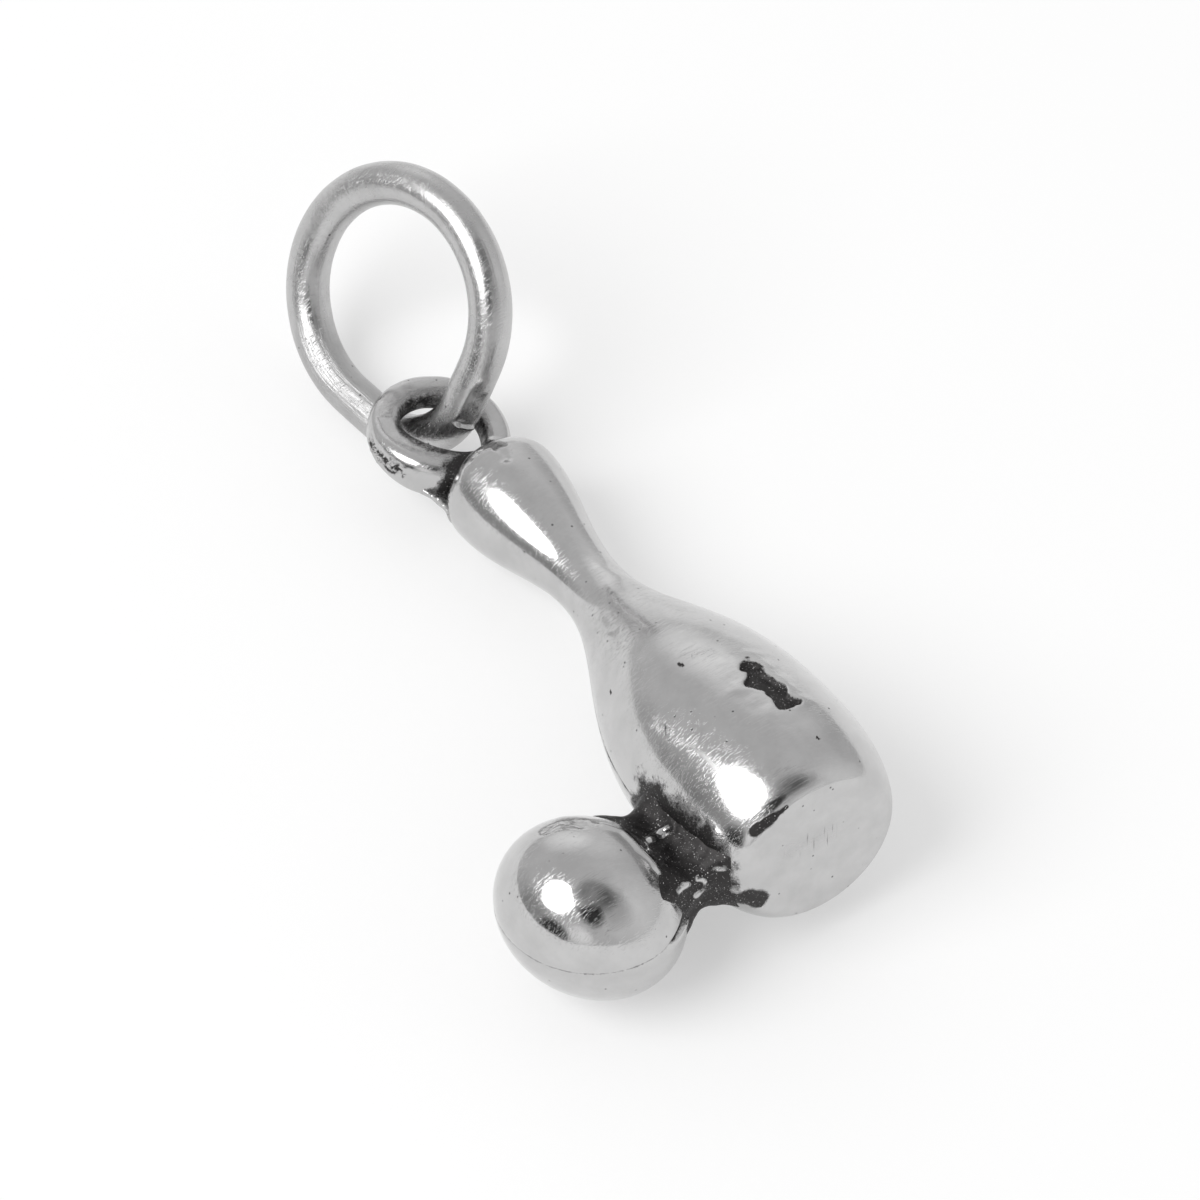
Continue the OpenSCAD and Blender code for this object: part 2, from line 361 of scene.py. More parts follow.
# The ball is a round ball that is pressed a little shorter along one axis
BALL_AXIS = np.array([
    np.sin(BALL_LEAN) * np.cos(BALL_TURN),
    -np.sin(BALL_LEAN) * np.sin(BALL_TURN),
    np.cos(BALL_LEAN),
])
BALL_STRETCH = BALL_RADIUS * np.eye(3) + (BALL_SHORT_RADIUS - BALL_RADIUS) * np.outer(BALL_AXIS, BALL_AXIS)
BALL_SHRINK = np.linalg.inv(BALL_STRETCH)


def ball_field(p):
    """About the distance outside the ball"""
    y = (p - BALL_MIDDLE) @ BALL_SHRINK
    size = np.maximum(np.linalg.norm(y, axis=-1), TINY)
    slope = np.linalg.norm(y @ BALL_SHRINK, axis=-1) / size
    return (size - 1) / slope


# Directions of the eye's loop: square to it, across it and up along it
EYE_SQUARE = np.array([
    np.cos(EYE_LEAN) * np.sin(EYE_TWIST),
    -np.cos(EYE_LEAN) * np.cos(EYE_TWIST),
    -np.sin(EYE_LEAN),
])
EYE_ACROSS = np.array([np.cos(EYE_TWIST), np.sin(EYE_TWIST), 0])
EYE_UP = np.cross(EYE_SQUARE, EYE_ACROSS)


def eye_field(p):
    """The distance outside a plain round loop"""
    v = p - EYE_MIDDLE
    height = v @ EYE_SQUARE
    reach = np.linalg.norm(v - height[..., None] * EYE_SQUARE, axis=-1)
    return np.hypot(reach - EYE_RADIUS, height) - EYE_WIRE


# Recess in the belly, the lip round it, and the edge of its floor
RECESS_HEIGHT = 2.95
RECESS_TURN = np.radians(14.5)
RECESS_LENGTH = 1.9
RECESS_WIDTH = 0.62
RECESS_DEPTH = 0.1
RECESS_LIP = 0.022
RECESS_LIP_REACH = (0.6, 0.08)
RECESS_EDGE = (0.05, -0.05)
# Waves along the recess in its middle line and its width: height, pace and phase
RECESS_BENDS = ((0.09, 4.1, 0.6), (0.05, 9.7, 0.0))
RECESS_WIDTHS = ((0.2, 6.3, 1.0), (0.1, 13.0, 0.0))
RECESS_WIDTH_SHARE = 0.8
RECESS_RAGGED = ((0.05, 0.55, 61), (0.025, 0.24, 62))


def along_waves(along, waves):
    return sum(height * np.sin(along * pace + phase) for height, pace, phase in waves)


def recess_place(p):
    """Share of the way into the recess, 0 outside and 1 on its floor, and the distance from its rim"""
    front = np.array([np.sin(RECESS_TURN), -np.cos(RECESS_TURN), 0])
    across = np.array([np.cos(RECESS_TURN), np.sin(RECESS_TURN), 0])
    v = p - np.array([0, 0, RECESS_HEIGHT])
    along = v[..., 2]
    side = v @ across + along_waves(along, RECESS_BENDS)
    reach = np.maximum(np.abs(along) - (RECESS_LENGTH - RECESS_WIDTH) / 2, 0)
    width = RECESS_WIDTH * (RECESS_WIDTH_SHARE + along_waves(along, RECESS_WIDTHS))
    far = np.hypot(reach, side) - width / 2 + ripple(p, *RECESS_RAGGED)
    far = np.where(p @ front > 0, far, np.inf)
    return smooth_step(*RECESS_EDGE, far), far


# Small dents and ridges of the pin: path in the photograph's pixels, half width and rise
PIN_MARKS = (
    (((474, 462), (489, 450), (498, 455)), 0.09, 0.025),
    (((504, 454), (505, 458)), 0.12, -0.045),
    (((608, 632), (615, 630)), 0.1, -0.008),
    (((633, 626), (639, 629)), 0.06, -0.01),
    (((619, 606),), 0.05, 0.006),
    (((865, 866),), 0.1, -0.05),
    (((600, 571), (612, 576)), 0.2, 0.02),
)
# The same for the ball: the rim that faces the web, and small dents
BALL_MARKS = (
    (((604, 826), (622, 832), (640, 850), (656, 866), (672, 884)), 0.12, 0.05),
    (((655, 868), (664, 880)), 0.08, 0.03),
    (((548, 830), (560, 824), (580, 826)), 0.16, -0.03),
    (((562, 818), (590, 820)), 0.2, 0.02),
    (((588, 893),), 0.25, -0.02),
    (((596, 942), (612, 940)), 0.3, 0.015),
)
# Dark patches on the pin: path, half width. The first two, by the foot's rim, are patina with a painted dark
# reflection over it; then come small stain dots, and a dark patch low on the foot by the web
PIN_STAINS_AND_PAINTED_REFLECTION = (
    (((754, 831), (764, 824), (773, 817)), 0.12),
    (((768, 821), (778, 814), (787, 807)), 0.06),
    (((680, 663), (684, 665)), 0.02),
    (((817, 737), (819, 739)), 0.02),
    (((611, 690), (612, 693)), 0.02),
    (((735, 899), (748, 897), (760, 900)), 0.24),
)
# The same for the ball: a painted dark reflection, the dark strip beyond its bright rim
BALL_PAINTED_REFLECTION = (
    (((616, 812), (636, 826), (654, 846), (670, 874)), 0.06),
)
# Where rubbing left bright scratches: path, half width
PIN_RUBS = (
    (((656, 722), (680, 738), (704, 755), (718, 770)), 0.13),
    (((690, 652), (712, 652)), 0.2),
    (((790, 850), (830, 835)), 0.38),
)
# The stretch below the neck is duller than the rest: its middle, half height and level
DULL_HEIGHT = 7.6
DULL_HALF = 1.3
DULL_LEVEL = 0.4

# How the hand-finished pin strays from a straight axis, away from the ball: height, half height, shift
AXIS_BENDS = ((NECK_HEIGHT, 2.2, 0.08), (4.5, 1.8, -0.04))
# Waves in the pin's skin, and the share by which they are weaker on the flat of the foot
PIN_WAVES = ((0.01, 5.0, 3), (0.004, 1.6, 4))
FOOT_EDGE = (0.14, 0.02)
FOOT_CALM = 0.6
# The seam on the ball's side: half width, depth, the height where it ends, and its patina
PIN_SEAM_HALF = 0.05
PIN_SEAM_DEPTH = 0.02
PIN_SEAM_END = (9.0, 7.5)
PIN_SEAM_PATINA = 0.75
PIN_SEAM_PATINA_WAVES = (0.35, 1.3, 9)
# The patina by the web: middle and half length along the pin, half angle round it in degrees and how
# much less it is behind, raggedness and how much more it is behind, raggedness of its ends, and edge
BEHIND = (0.0, 0.8)
WEB_PATINA_MIDDLE = 1.95
WEB_PATINA_HALF = 1.85
WEB_PATINA_TURN = 27
TURN_LESS = 4
SIDE_RAGGED = 0.8
SIDE_RAGGED_MORE = 1.1
END_RAGGED = 0.4
WEB_PATINA_EDGE = (1.35, 0.65)
# The edges of the patina by the eye and in the recess, how ragged patina is, and shares of that
EYE_PATINA = (0.26, 0.04)
RECESS_PATINA = (0.09, 0.0)
PIN_RAGGED = ((0.16, 1.1, 7), (0.08, 0.45, 8))
NEAR_RAGGED = 0.3
PIN_STAIN_AND_REFLECTION_RAGGED = 0.15


def pin_surface():
    """Rows of points round the plain pin, and their directions outward"""
    z, r = outline_points()
    count = int(2 * np.pi * BELLY_RADIUS / FINE / 2) * 2
    turn = np.linspace(0, 2 * np.pi, count, endpoint=False)
    slope_z, slope_r = np.gradient(z), np.gradient(r)
    size = np.hypot(slope_z, slope_r)

    def spun(out, up):
        out = out[:, None]
        return np.stack([out * np.cos(turn), out * np.sin(turn), np.repeat(up[:, None], count, 1)], -1)

    return spun(r, z), spun(slope_z / size, -slope_r / size)


def axis_shift(z):
    """How far the pin strays from a straight axis at a height"""
    return sum(shift * bell((z - height) / half) for height, half, shift in AXIS_BENDS)


def pin_relief(p):
    """Height of the pin's skin over the plain outline, its patina with a painted dark reflection by the
    foot's rim, and where it is rubbed
    """
    x, y, z = p[..., 0], p[..., 1], p[..., 2]
    into, from_rim = recess_place(p)
    foot_face = smooth_step(*FOOT_EDGE, z)
    height = ripple(p, *PIN_WAVES) * (1 - FOOT_CALM * foot_face)
    height += RECESS_LIP * smooth_step(*RECESS_LIP_REACH, from_rim) - (RECESS_DEPTH + RECESS_LIP) * into
    height += marks_relief(p, PIN_MARKS, pin_field)
    seam = bell(y / PIN_SEAM_HALF) * (1 - foot_face) * smooth_step(*PIN_SEAM_END, z) * (x < 0)
    height -= PIN_SEAM_DEPTH * seam
    ragged = ripple(p, *PIN_RAGGED)
    turn = np.degrees(np.arctan2(np.abs(y), -x))
    behind = smooth_step(*BEHIND, y)
    side = turn / (WEB_PATINA_TURN - TURN_LESS * behind) + (SIDE_RAGGED + SIDE_RAGGED_MORE * behind) * ragged
    reach = np.abs(z - WEB_PATINA_MIDDLE) / WEB_PATINA_HALF + END_RAGGED * ragged
    by_web = smooth_step(*WEB_PATINA_EDGE, np.sqrt(side ** 2 + np.maximum(reach, 0) ** 4))
    patina = np.maximum.reduce([
        by_web * (1 - foot_face),
        smooth_step(*EYE_PATINA, eye_field(p) + NEAR_RAGGED * ragged),
        smooth_step(*RECESS_PATINA, from_rim),
        seam * (PIN_SEAM_PATINA + ripple(p, PIN_SEAM_PATINA_WAVES)),
        # Stain marks, with a painted dark reflection by the foot's rim
        stains_and_painted_reflections(p, PIN_STAINS_AND_PAINTED_REFLECTION, pin_field, PIN_STAIN_AND_REFLECTION_RAGGED * ragged),
    ])
    rubbed = DULL_LEVEL * bell((z - DULL_HEIGHT) / DULL_HALF)
    for path, width in PIN_RUBS:
        rubbed = np.maximum(rubbed, bell(far_from_path(p, traced(path, pin_field)) / width))
    return height, patina, rubbed


def parting_faces(rows, columns, belly_row, middle):
    """The flat face where the pin's halves meet: a fan round a point below the belly, a strip above"""
    first = [i * columns for i in range(rows)]
    last = [i * columns + columns - 1 for i in range(rows)]
    rim = first[:belly_row + 1] + last[belly_row::-1]
    faces = [(middle, a, b) for a, b in zip(rim, rim[1:] + rim[:1])]
    faces += [(first[i], first[i + 1], last[i + 1], last[i]) for i in range(belly_row, rows - 1)]
    return faces


def make_pin():
    """The two halves of the pin, each closed at its foot, its top and the parting face"""
    p, outward = pin_surface()
    height, patina, rubbed = pin_relief(p)
    p = p + outward * height[..., None] + axis_shift(p[..., 2])[..., None] * np.array([1.0, 0, 0])
    rows, count = p.shape[:2]
    half = count // 2
    columns = half + 1
    belly_row = int(np.argmax(p[:, 0, 2] > BELLY_HEIGHT))
    pieces = []
    for name, start in (("pin_back_skin", 0), ("pin_front_skin", half)):
        pick = (start + np.arange(columns)) % count
        points = np.vstack([lie(p[:, pick]).reshape(-1, 3), lie(np.array([0, 0, BELLY_HEIGHT / 2]))])
        faces = sheet_faces(rows, columns, False)
        faces.append(tuple(range(half, -1, -1)))
        faces.append(tuple((rows - 1) * columns + j for j in range(columns)))
        faces += parting_faces(rows, columns, belly_row, len(points) - 1)
        layers = [np.append(values[:, pick], 0) for values in (patina, rubbed)]
        pieces.append(make_piece(name, points, faces, *layers))
    return pieces


# Web
WEB_LOW = 0.48
WEB_HIGH = 3.8
WEB_MIDDLE = 0.15
WEB_HALF = 0.75
WEB_ACROSS_MIDDLE = -2.75
WEB_ACROSS_HALF = 1.0
WEB_FILLET = 0.38
WEB_TOP_FALL = 0.45
# X and height of the hollow in its upper edge
WEB_HOLLOW_RADIUS = 0.6
WEB_HOLLOW = (-BELLY_RADIUS - WEB_HOLLOW_RADIUS, 4.235)
# Front and back are hollowed by this depth, this far out from the belly, over this half width
WEB_WAIST_DEPTH = 0.12
WEB_WAIST_OUT = 0.25
WEB_WAIST_HALF = 0.35
# Rounding of its edges above and below, of its long corners, and between pin and ball
WEB_EDGE_ROUND = 0.2
WEB_CORNER_ROUND = 0.25
PIN_BALL_ROUND = 0.15
WEB_WAVES = ((0.02, 0.7, 21), (0.01, 0.25, 22))
# Away from the web its surface dives this deep under the skins of pin and ball
WEB_DIVE = 0.09
WEB_DIVE_REACH = (0.1, 0.38)
# Its mesh goes this deep into pin and ball, and ends this far from the block
WEB_SUNK = 0.15
WEB_REACH = 0.36
# Two corners of the box in which it is meshed, and the spacing
WEB_BOX_LOW = (-4.83, -1.3, -0.22)
WEB_BOX_HIGH = (-1.43, 1.6, 4.6)
WEB_SPACING = 0.045
# Casting lumps on the web: path in the photograph's pixels, half width
WEB_LUMPS = (
    (((650, 841), (656, 836), (663, 831), (670, 828)), 0.08),
    (((677, 894), (681, 888), (687, 885)), 0.05),
    (((699, 878), (704, 881), (703, 888), (697, 896)), 0.045),
    (((710, 873), (718, 870), (728, 868)), 0.025),
)
LUMP_WAVES = (0.02, 0.3, 23)
LUMP_BLEND = 0.08
# Lumps are bare of patina, with this edge
LUMP_BARE_WAVES = (0.06, 0.3, 24)
LUMP_BARE_EDGE = (-0.04, 0.06)


def web_slab(p):
    """The web's block; its hollow upper edge falls towards the front"""
    sides = np.abs(p[..., 1] - WEB_MIDDLE) - WEB_HALF
    sides += WEB_WAIST_DEPTH * bell((p[..., 0] + BELLY_RADIUS + WEB_WAIST_OUT) / WEB_WAIST_HALF)
    height = p[..., 2] + WEB_TOP_FALL * (WEB_MIDDLE + WEB_HALF - p[..., 1])
    hollow = WEB_HOLLOW_RADIUS - np.hypot(p[..., 0] - WEB_HOLLOW[0], height - WEB_HOLLOW[1])
    top = smooth_min(WEB_HIGH - height, -hollow, WEB_EDGE_ROUND)
    ends = -smooth_min(p[..., 2] - WEB_LOW, top, WEB_EDGE_ROUND)
    ends = np.maximum(ends, np.abs(p[..., 0] - WEB_ACROSS_MIDDLE) - WEB_ACROSS_HALF)
    return -smooth_min(-sides, -ends, WEB_CORNER_ROUND)


def web_base(p):
    """The web with its fillets; away from them the field dives under the skins of pin and ball"""
    cast = smooth_min(pin_field(p), ball_field(p), PIN_BALL_ROUND)
    slab = web_slab(p)
    dive = WEB_DIVE * smooth_step(*WEB_DIVE_REACH, slab)
    return smooth_min(cast, slab, WEB_FILLET) + ripple(p, *WEB_WAVES) + dive


def make_web():
    lumps = [(traced(path, web_base), width) for path, width in WEB_LUMPS]

    def web_field(p):
        body = web_base(p)
        lumpy = ripple(p, LUMP_WAVES)
        for path, width in lumps:
            body = smooth_min(body, far_from_path(p, path) - width + lumpy, LUMP_BLEND)
        sunk = -(np.minimum(pin_field(p), ball_field(p)) + WEB_SUNK)
        return np.maximum.reduce([body, sunk, web_slab(p) - WEB_REACH])

    points, quads = field_piece(web_field, WEB_BOX_LOW, WEB_BOX_HIGH, WEB_SPACING)
    patina = np.ones(len(points))
    for path, width in lumps:
        far = far_from_path(points, path) - width + ripple(points, LUMP_BARE_WAVES)
        patina = np.minimum(patina, smooth_step(*LUMP_BARE_EDGE, far))
    return make_piece("web_skin", lie(points), quads, patina)


# Waves in the ball's skin
BALL_WAVES = ((0.006, 4.0, 11), (0.002, 1.3, 12))
# The seam gapes on the web's side, in the ball's lower half: from one X to another
BALL_GAPING = (-4.5, -3.3)
# The seam's half width and depth, with what is added where it gapes
BALL_SEAM_HALF = 0.04
BALL_SEAM_WIDER = 0.06
BALL_SEAM_DEPTH = 0.012
BALL_SEAM_DEEPER = 0.1
# The lip behind the gaping seam: rise, distance from the seam and half width
BALL_LIP = 0.05
BALL_LIP_BEHIND = 0.2
BALL_LIP_HALF = 0.09
# Patina: by the pin, by the web and only low down there, and in the seam with its least level
BALL_PATINA = (1.0, 0.6)
BALL_WEB_PATINA = (0.32, 0.06)
BALL_WEB_PATINA_TOP = (1.2, 0.8)
BALL_SEAM_PATINA = (0.1, 0.4)
SEAM_PATINA_LEAST = 0.5
BALL_RAGGED = ((0.12, 1.0, 13), (0.06, 0.4, 14))
BALL_REFLECTION_RAGGED = 0.1


def ball_relief(p):
    """Height of the ball's skin over the plain ball, and its patina with a painted dark reflection beside
    its rim
    """
    x, y, z = p[..., 0], p[..., 1], p[..., 2]
    height = ripple(p, *BALL_WAVES)
    from_seam = y - (BALL_MIDDLE[1] - BALL_SEAM)
    gaping = smooth_step(*BALL_GAPING, x) * (z < BALL_MIDDLE[2])
    groove = bell(from_seam / (BALL_SEAM_HALF + BALL_SEAM_WIDER * gaping))
    height -= (BALL_SEAM_DEPTH + BALL_SEAM_DEEPER * gaping) * groove
    height += BALL_LIP * gaping * bell((from_seam - BALL_LIP_BEHIND) / BALL_LIP_HALF)
    height += marks_relief(p, BALL_MARKS, ball_field)
    ragged = ripple(p, *BALL_RAGGED)
    from_pin = np.hypot(x, y) - pin_radius(z)
    by_web = smooth_step(*BALL_WEB_PATINA, web_slab(p) + NEAR_RAGGED * ragged)
    patina = np.maximum.reduce([
        smooth_step(*BALL_PATINA, from_pin + ragged),
        by_web * smooth_step(*BALL_WEB_PATINA_TOP, z),
        groove * np.maximum(SEAM_PATINA_LEAST, smooth_step(*BALL_SEAM_PATINA, gaping)),
        # A painted dark reflection: the dark strip beyond the bright rim
        stains_and_painted_reflections(p, BALL_PAINTED_REFLECTION, ball_field, BALL_REFLECTION_RAGGED * ragged),
    ])
    return height, patina


def make_ball():
    """Two caps that meet at the seam, drawn on a unit ball and stretched"""
    square = np.array([0.0, -1.0, 0.0]) @ BALL_STRETCH
    size = np.linalg.norm(square)
    square /= size
    level = BALL_SEAM / size
    a = np.cross(square, [0, 0, 1.0])
    a /= np.linalg.norm(a)
    b = np.cross(square, a)
    count = int(2 * np.pi * BALL_RADIUS / FINE)
    turn = np.linspace(0, 2 * np.pi, count, endpoint=False)
    pieces = []
    for name, side in (("ball_front_skin", 1), ("ball_back_skin", -1)):
        edge = np.arccos(side * level)
        tilt = np.linspace(edge, 0, int(edge * BALL_RADIUS / FINE))[:-1]
        round_way = np.cos(turn)[:, None] * a + np.sin(turn)[:, None] * b
        y = np.cos(tilt)[:, None, None] * side * square + np.sin(tilt)[:, None, None] * round_way
        p = BALL_MIDDLE + y @ BALL_STRETCH
        outward = y @ BALL_SHRINK
        outward /= np.linalg.norm(outward, axis=-1, keepdims=True)
        height, patina = ball_relief(p)
        pole = len(tilt) * count
        last_row = pole - count
        tip = lie(BALL_MIDDLE + side * square @ BALL_STRETCH)
        points = np.vstack([lie(p + outward * height[..., None]).reshape(-1, 3), tip])
        faces = sheet_faces(len(tilt), count, True)
        faces += [(last_row + j, last_row + (j + 1) % count, pole) for j in range(count)]
        faces.append(tuple(range(count))[::-1])
        if side < 0:
            faces = [f[::-1] for f in faces]
        pieces.append(make_piece(name, points, faces, np.append(patina.ravel(), 0)))
    return pieces


# Eye: points round the loop and round its wire
EYE_ROWS = 260
EYE_COLUMNS = 72
# The wire's section is a rounded square of this power, this share of the wire in size
EYE_SQUARENESS = 2.7
EYE_SHRINK = 0.97
# It grows inwards and upwards on the ball's side: how far, round which turn of the loop, how closely
EYE_INWARD = 0.4
EYE_INWARD_TURN = np.radians(215)
EYE_INWARD_POWER = 1.2
EYE_RISE = 0.36
EYE_RISE_TURN = np.radians(235)
EYE_WAVES = ((0.014, 1.6, 31), (0.006, 0.6, 32))
# Rough casting crumbs on the eye's outer wall: path in the photograph's pixels and its edge, scales and
# seeds of the two wobbles that make grains when multiplied, their rise and depth, and their patina
EYE_CRUMBS = ((369, 443), (376, 455), (388, 465), (400, 471))
CRUMB_EDGE = (0.3, 0.1)
CRUMB_GRAINS = ((0.16, 34), (0.23, 35))
CRUMB_RISE = 0.16
CRUMB_SUNK = 0.03
CRUMB_WAVES = (0.05, 0.3, 36)
CRUMB_PATINA = (0.15, -0.15)
# Patina inside the loop, by the distance within its middle line, and by the head
EYE_INSIDE = (0.1, 0.34)
EYE_INSIDE_LEVEL = 0.7
EYE_BY_HEAD = (0.42, 0.08)
EYE_BY_HEAD_WAVES = (0.12, 0.5, 33)


def make_eye():
    """A thick cast loop: its wire is a little squared, and grows inwards and upwards on the ball's side"""
    turn = np.linspace(0, 2 * np.pi, EYE_ROWS, endpoint=False)
    around = np.linspace(0, 2 * np.pi, EYE_COLUMNS, endpoint=False)
    c, s = np.cos(around), np.sin(around)
    square = (np.abs(c) ** EYE_SQUARENESS + np.abs(s) ** EYE_SQUARENESS) ** (-1 / EYE_SQUARENESS)
    inward = EYE_INWARD * np.maximum(0, np.cos(turn - EYE_INWARD_TURN)) ** EYE_INWARD_POWER
    rise = EYE_RISE * np.maximum(0, np.cos(turn - EYE_RISE_TURN))
    inner = 1 + inward[:, None] / EYE_WIRE * (c < 0)
    upper = 1 + rise[:, None] / EYE_WIRE * (s > 0)
    out = EYE_RADIUS + EYE_WIRE * EYE_SHRINK * square * c * inner
    high = EYE_WIRE * EYE_SHRINK * square * s * upper
    rim = np.cos(turn)[:, None] * EYE_ACROSS + np.sin(turn)[:, None] * EYE_UP
    p = EYE_MIDDLE + out[..., None] * rim[:, None, :] + high[..., None] * EYE_SQUARE
    outward = c[None, :, None] * rim[:, None, :] + s[None, :, None] * EYE_SQUARE
    crumbly = smooth_step(*CRUMB_EDGE, far_from_path(p, traced(EYE_CRUMBS, eye_field)))
    grain = np.prod([wobble(p, scale, seed) for scale, seed in CRUMB_GRAINS], axis=0)
    crumbs = CRUMB_RISE * np.maximum(grain, 0) - CRUMB_SUNK + ripple(p, CRUMB_WAVES)
    height = ripple(p, *EYE_WAVES) + crumbly * crumbs
    p = p + outward * height[..., None]
    patina = np.maximum.reduce([
        EYE_INSIDE_LEVEL * smooth_step(*EYE_INSIDE, EYE_RADIUS - out),
        smooth_step(*EYE_BY_HEAD, pin_field(p) + ripple(p, EYE_BY_HEAD_WAVES)),
        crumbly * smooth_step(*CRUMB_PATINA, grain),
    ])
    # A row more than there is joins the last row to the first, and the quads are turned over
    count = EYE_ROWS * EYE_COLUMNS
    faces = [(i, m % count, k % count, j) for i, j, k, m in sheet_faces(EYE_ROWS + 1, EYE_COLUMNS, True)]
    return make_piece("eye_skin", lie(p).reshape(-1, 3), faces, patina.ravel())


# Solder between eye and head: how far it fills the corner, and the place and radius of the round that
# bounds it: aside of the eye's middle, behind the pin's axis and below the pin's top
SOLDER_FILL = 0.8
SOLDER_WAVES = (0.02, 0.5, 41)
SOLDER_ASIDE = 0.25
SOLDER_BEHIND = 0.1
SOLDER_BELOW = 0.15
SOLDER_REACH = 1.0
# How deep it goes into eye and head, half its meshing box, its spacing and its even patina
SOLDER_SUNK = 0.1
SOLDER_BOX_HALF = 1.4
SOLDER_SPACING = 0.04
SOLDER_PATINA = 0.25
SOLDER_BOX_MIDDLE = np.array([EYE_ASIDE, SOLDER_BEHIND, PIN_HEIGHT - SOLDER_BELOW])
SOLDER_MIDDLE = SOLDER_BOX_MIDDLE - np.array([SOLDER_ASIDE, 0, 0])


def solder_field(p):
    """The solder, behind the eye's middle plane and bounded by a round"""
    pin, eye = pin_field(p), eye_field(p)
    fill = smooth_min(pin, eye, SOLDER_FILL) + ripple(p, SOLDER_WAVES)
    ahead = (p - EYE_MIDDLE) @ EYE_SQUARE
    from_middle = np.linalg.norm(p - SOLDER_MIDDLE, axis=-1)
    sunk = -(np.minimum(pin, eye) + SOLDER_SUNK)
    return np.maximum.reduce([fill, ahead, from_middle - SOLDER_REACH, sunk])


def make_solder():
    low, high = SOLDER_BOX_MIDDLE - SOLDER_BOX_HALF, SOLDER_BOX_MIDDLE + SOLDER_BOX_HALF
    points, quads = field_piece(solder_field, low, high, SOLDER_SPACING)
    return make_piece("eye_solder_skin", lie(points), quads, np.full(len(points), SOLDER_PATINA))


# Jump ring: the lying ring's heading and rise
RING_HEADING = np.radians(72.8)
RING_RISE = np.radians(36.9)
RING_COLUMNS = 64
RING_LEAST_ROWS = 4
RING_WAVES = ((0.006, 2.2, 51), (0.003, 0.8, 52))
# The wire is filed flat next to its closing: towards which turn round the wire, how far along it, what
# is left from its middle, the least share of facing that turn, and the patina with its edge
FACET_TURN = np.radians(-18)
FACET_LENGTH = 1.3
FACET_DEPTH_LEFT = 0.4
FACET_LEAST_FACING = 0.05
FACET_FACING = (0.8, 0.95)
FACET_PATINA = 0.45
# The solder stands proud as a small ridge at the facet's end
RIDGE_RISE = 0.05
RIDGE_FACING = (0.75, 0.95)
# The branch that the closing pliers left matt, along the way round
MATT_MIDDLE = 15.4
MATT_HALF = 2.4
# Edges of facet and matt branch along the way, as shares of their length
ALONG_EDGE = (1.0, 0.5)

# How far apart the middles of the ring's bends are, and lengths along its way round, which starts at the
# middle of the small bend and runs towards the ring's upper side
RING_APART = (RING_RADIUS - BOW_RADIUS) / np.cos(BOW_ANGLE)
BOW_LENGTH = BOW_RADIUS * BOW_ANGLE
STRAIGHT_LENGTH = (RING_RADIUS - BOW_RADIUS) * np.tan(BOW_ANGLE)
RING_LENGTH = 2 * BOW_LENGTH + 2 * STRAIGHT_LENGTH + RING_RADIUS * (2 * np.pi - 2 * BOW_ANGLE)
SLIT_PLACE = SLIT_ANGLE * BOW_RADIUS


def ring_path(way):
    """Points at places on the way round the ring, and their directions outward, both flat"""
    points, outward = np.zeros((len(way), 2)), np.zeros((len(way), 2))
    bow, straight_end = BOW_LENGTH, BOW_LENGTH + STRAIGHT_LENGTH
    for i, x in enumerate(way % RING_LENGTH):
        radius, apart, forward = BOW_RADIUS, 0, 0
        if x < bow or x >= RING_LENGTH - bow:
            angle = np.pi - (x if x < bow else x - RING_LENGTH) / BOW_RADIUS
        elif x < straight_end:
            angle, forward = np.pi - BOW_ANGLE, x - bow
        elif x >= RING_LENGTH - straight_end:
            angle, forward = np.pi + BOW_ANGLE, -(RING_LENGTH - bow - x)
        else:
            angle = np.pi - BOW_ANGLE - (x - straight_end) / RING_RADIUS
            radius, apart = RING_RADIUS, RING_APART
        cos, sin = np.cos(angle), np.sin(angle)
        outward[i] = cos, sin
        points[i] = np.array([apart, 0]) + radius * outward[i] + forward * np.array([sin, -cos])
    return points, outward


def ring_axes():
    """Directions of the lying ring: along its length and across it"""
    level = np.cos(RING_RISE)
    along = np.array([level * np.cos(RING_HEADING), level * np.sin(RING_HEADING), np.sin(RING_RISE)])
    along -= RING_SQUARE * (along @ RING_SQUARE)
    along /= np.linalg.norm(along)
    return along, np.cross(RING_SQUARE, along)


def ring_tube(name, start, end, ridge):
    """A closed stretch of the wire, from one place on the way round to another"""
    rows = max(int((end - start) / FINE), RING_LEAST_ROWS)
    way = np.linspace(start, end, rows)
    around = np.linspace(0, 2 * np.pi, RING_COLUMNS, endpoint=False)
    points, outward = ring_path(way)
    along, across = ring_axes()
    middle = RING_PLACE + points[:, 0:1] * along + points[:, 1:2] * across
    out = outward[:, 0:1] * along + outward[:, 1:2] * across
    c, s = np.cos(around), np.sin(around)
    n = c[None, :, None] * out[:, None, :] + s[None, :, None] * RING_SQUARE
    plain = middle[:, None, :] + RING_WIRE * n
    way = way[:, None]
    facing = np.maximum(np.cos(around - FACET_TURN), FACET_LEAST_FACING)[None, :]
    past = way - SLIT_PLACE
    filed = smooth_step(*ALONG_EDGE, past / FACET_LENGTH) * (past > 0)
    flat = np.minimum(RING_WIRE, FACET_DEPTH_LEFT / facing)
    radius = RING_WIRE + filed * (flat - RING_WIRE) + ridge * smooth_step(*RIDGE_FACING, facing)
    radius = radius + ripple(plain, *RING_WAVES)
    p = middle[:, None, :] + radius[..., None] * n
    faces = sheet_faces(rows, RING_COLUMNS, True)
    faces.append(tuple(range(RING_COLUMNS))[::-1])
    faces.append(tuple(range((rows - 1) * RING_COLUMNS, rows * RING_COLUMNS)))
    patina = FACET_PATINA * filed * smooth_step(*FACET_FACING, facing)
    matt = smooth_step(*ALONG_EDGE, np.abs(way - MATT_MIDDLE) / MATT_HALF).repeat(RING_COLUMNS)
    flow = np.stack(np.broadcast_arrays(way, c, s), -1)
    return make_piece(name, p.reshape(-1, 3), faces, patina.ravel(), matt, flow.reshape(-1, 3))


